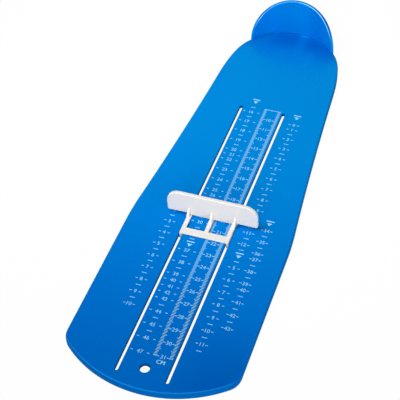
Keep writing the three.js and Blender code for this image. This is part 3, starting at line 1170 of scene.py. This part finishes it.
def build_blue_plastic():
    material, tree, shader, effect = start_plastic("blue_plastic", *blue_surface)
    shader.inputs["Specular IOR Level"].default_value = 0.0
    source = start_with(tree, "ShaderNodeTexCoord")
    at, tilt = parts_of(source["Object"]), parts_of(source["Normal"])
    ahead = maths("SUBTRACT", at["Y"], heel_centre.y)
    outwards = vector_maths("NORMALIZE", "Vector", flat_vector(at["X"], ahead))
    turn = vector_maths("DOT_PRODUCT", "Value", outwards, source["Normal"])

    toe_shade, corner = mask_toe(at)
    foot, foot_shade_dull = mask_foot(at, ahead)
    left, right, rim, line = mask_wall(at, turn)
    skirt, brim_highlight = mask_edge(at, tilt)
    cut_shade = mask_cuts(at)
    colour = mix_colours(effect["Clouds"], blue_pale, blue_deep)
    # Layers of painted shade, painted light and painted highlight over the blue
    for cover, layer in ((toe_shade, blue_toe_shade), (corner, blue_corner_shade), (foot, blue_foot_shade),
                         (left, blue_wall_painted_light), (right, blue_wall_painted_shade), (rim, blue_rim_shade),
                         (line, blue_rim_highlight), (skirt, blue_skirt_shade), (brim_highlight, blue_brim_highlight), (cut_shade, blue_cut_shade)):
        colour = mix_colours(cover, colour, layer)
    feed(shader.inputs["Base Color"], colour)

    # The gloss is dulled where painted shade lies
    dull = any_of(cut_shade, all_of(foot_shade_dull, foot_shade_dulling),
                  all_of(any_of(rim, skirt), edge_shade_dulling))
    add_blue_gloss(shader, effect, toe_shade, dull)
    lay_out(tree)
    return material


blue_plastic = build_blue_plastic()

# %% Build the white plastic
white_surface = (0.38, 0.05, 0.2)
white_ior = 1.48
white_pale, white_deep = (0.71, 0.695, 0.665), (0.69, 0.675, 0.645)


def build_white_plastic():
    material, tree, shader, effect = start_plastic("white_plastic", *white_surface)
    shader.inputs["IOR"].default_value = white_ior
    feed(shader.inputs["Base Color"], mix_colours(effect["Clouds"], white_pale, white_deep))
    lay_out(tree)
    return material


white_plastic = build_white_plastic()

# %% [markdown]
# The ink is thin, so the blue comes through in places. It is mixed in by fine noise, so that the
# print stays one opaque layer. In the hatched bands the ink has run together towards the heel, where
# stroke and veil get the same tone.

# %% Build the inks
ink_roughness = 0.4
ink_noise, ink_cover = (1500, 3), (0.25, 0.5)
full_ink = (0.17, 0.5, 0.84), (0.27, 0.64, 0.95)
thin_ink = (0.13, 0.36, 0.62), (0.17, 0.4, 0.66)
thinnest_ink = (0.02, 0.17, 0.5), (0.03, 0.19, 0.53)
closed_ink = (0.102, 0.345, 0.68)
hatch_closing = (along(268 * MM), along(236 * MM))


def build_ink(name, thin, full, closed=None):
    material, tree, shader = start_material(name)
    shader.inputs["Roughness"].default_value = ink_roughness
    place = start_with(tree, "ShaderNodeTexCoord")["Object"]
    cover = spread(noise(place, *ink_noise), ink_cover)
    colour = mix_colours(cover, thin, full)
    if closed:
        to_heel = mask(parts_of(place)["Y"], hatch_closing)
        colour = mix_colours(to_heel, colour, closed)
    feed(shader.inputs["Base Color"], colour)
    lay_out(tree)
    return material


white_ink = build_ink("white_ink", *full_ink)
stroke_ink = build_ink("white_ink_thin", *thin_ink, closed_ink)
veil_ink = build_ink("white_ink_veil", *thinnest_ink, closed_ink)

# %% Give each piece its surface
surfaces = [(base, blue_plastic), (slider, white_plastic), (strokes, stroke_ink), (veils, veil_ink)]
surfaces += [(piece, white_ink) for piece in prints]
for piece, material in surfaces:
    # A Boolean leaves an empty slot
    piece.data.materials.clear()
    piece.data.materials.append(material)
    print(piece.name, "is made of", material.name)

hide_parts("gauge_base")
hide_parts("toe_slider")
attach(base, "base")
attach(slider, "slider")
for piece in (strokes, veils, *prints):
    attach(piece, "base")

# %% [markdown]
# The device lies on a plain pale floor in soft light. The floor makes the background white: rays
# from the camera, and rays that reflect or pass through, see it mostly as a plain white light. The
# rest of it is an ordinary surface that takes the device's shadow.

# %% Lay the floor
floor_size = 20.0
floor_white = (0.9, 0.9, 0.9)
floor_glow_share = 0.97


def seen_directly(tree):
    """1 for a ray from the camera, or one that reflects or passes through, and 0 for other light."""
    rays = start_with(tree, "ShaderNodeLightPath")
    return any_of(rays["Is Camera Ray"], rays["Is Glossy Ray"], rays["Is Transmission Ray"])


def build_floor():
    piece = add_shape(bpy.ops.mesh.primitive_plane_add, size=floor_size)
    piece.name = "floor"
    material, tree, shader = start_material("floor_white")
    tree.nodes.remove(shader)
    matte = new_node("ShaderNodeBsdfDiffuse", {"Color": floor_white}, tree)
    glow = start_with(tree, "ShaderNodeEmission")
    given = {"Fac": all_of(seen_directly(tree), floor_glow_share),
             1: matte.outputs["BSDF"], 2: glow["Emission"]}
    mix = new_node("ShaderNodeMixShader", given)
    feed(tree.nodes["Material Output"].inputs["Surface"], mix.outputs["Shader"])
    lay_out(tree)
    piece.data.materials.append(material)
    return piece


floor = build_floor()

# %% [markdown]
# A soft spot from above and the left gives the main light. A large warm disk stands in front of the
# toe and a small one at the right, and neither shows in the gloss. The world adds a little light, and
# is plain white where it is seen.

# %% Light the scene
world_light = 0.25
# For each lamp: its kind and power, its place, what it is aimed at, and its other settings
lamps = {
    "key_light": ("SPOT", 23.0, (-0.33, -0.12, 0.68), (-0.03, 0.12, 0),
                  {"spot_size": math.radians(52), "spot_blend": 1.0, "shadow_soft_size": 0.15}),
    "front_light": ("AREA", 5.7, (0.05, -0.95, 0.28), (0, -0.03, 0.02),
                    {"shape": "DISK", "size": 0.6, "color": (1.0, 0.93, 0.82)}),
    "side_light": ("AREA", 2.1, (0.6, -0.35, 0.14), (-0.02, 0.15, 0.02), {"shape": "DISK", "size": 0.3}),
}


def add_lamp(name, kind, power, place, target, settings):
    lamp_data = bpy.data.lights.new(name, kind)
    set_all(lamp_data, {"energy": power, **settings})
    lamp = bpy.data.objects.new(name, lamp_data)
    lamp.visible_glossy = kind != "AREA"
    stand(lamp, Vector(place), Vector(target))


def build_world():
    world = bpy.data.worlds.new("pale_world")
    bpy.context.scene.world = world
    world.use_nodes = True
    tree = world.node_tree
    sky = tree.nodes["Background"]
    feed(sky.inputs["Color"], (1.0, 1.0, 1.0))
    given = {"Value": seen_directly(tree), "To Min": world_light}
    feed(sky.inputs["Strength"], new_node("ShaderNodeMapRange", given).outputs["Result"])
    lay_out(tree)


build_world()
for name, lamp in lamps.items():
    add_lamp(name, *lamp)
bpy.context.scene.view_settings.view_transform = "Standard"
print("lit by the world and by", list(lamps))
